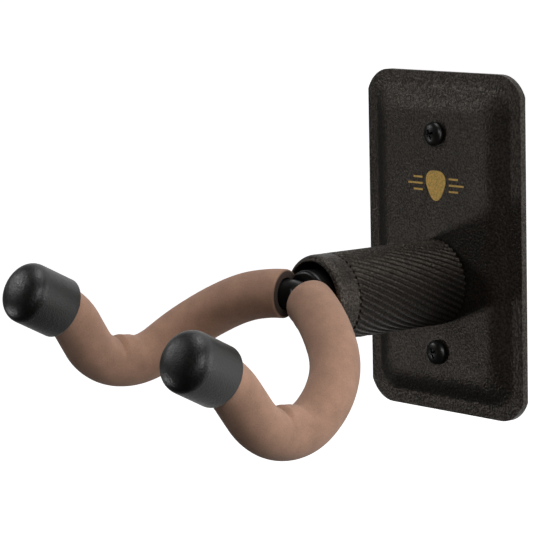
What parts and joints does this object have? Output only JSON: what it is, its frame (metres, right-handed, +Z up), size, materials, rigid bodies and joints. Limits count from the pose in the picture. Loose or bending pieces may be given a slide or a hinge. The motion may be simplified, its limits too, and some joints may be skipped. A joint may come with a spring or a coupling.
{
  "type": "wall guitar hanger",
  "caption": "Wall guitar hanger: stamped plate with screws, knurled barrel and a swivelling yoke with foam-covered arms and rubber end caps.",
  "frame": {"origin": "centre of the wall plate's back, on the wall", "axes": "+Z up, +Y into the wall, the hanger stands out of the wall to -Y, +X to the right seen from the front"},
  "size_m": [0.1041, 0.1822, 0.1142],
  "materials": {
    "plate_coat": "black textured powder coat",
    "barrel_coat": "black satin coat over knurled steel",
    "black_steel": "black oxide",
    "plated_steel": "zinc plated",
    "nylon": "natural nylon",
    "foam": "smooth skin of closed-cell foam rubber",
    "cap_rubber": "moulded black rubber, faintly waxy"
  },
  "bodies": {
    "wall_bracket": {"wall_plate": "plate_coat", "mounting_screw_upper": "black_steel", "mounting_screw_lower": "black_steel", "barrel": "barrel_coat", "barrel_lock_ring": "plated_steel", "front_bushing": "nylon", "rear_bushing": "nylon", "thrust_washer": "nylon"},
    "yoke": {"swivel_stud": "black_steel", "yoke_rod": "black_steel", "sleeve_left": "foam", "sleeve_right": "foam", "end_cap_left": "cap_rubber", "end_cap_right": "cap_rubber", "wave_washer": "plated_steel", "flat_washer": "plated_steel", "lock_nut": "plated_steel", "lock_nut_insert": "nylon"}
  },
  "joints": [
    {"name": "yoke_swivel", "type": "hinge", "parent": "wall_bracket", "child": "yoke", "pos_m": [0, -0.0605, -0.01285], "axis": [0, -1, 0], "continuous": true}
  ]
}
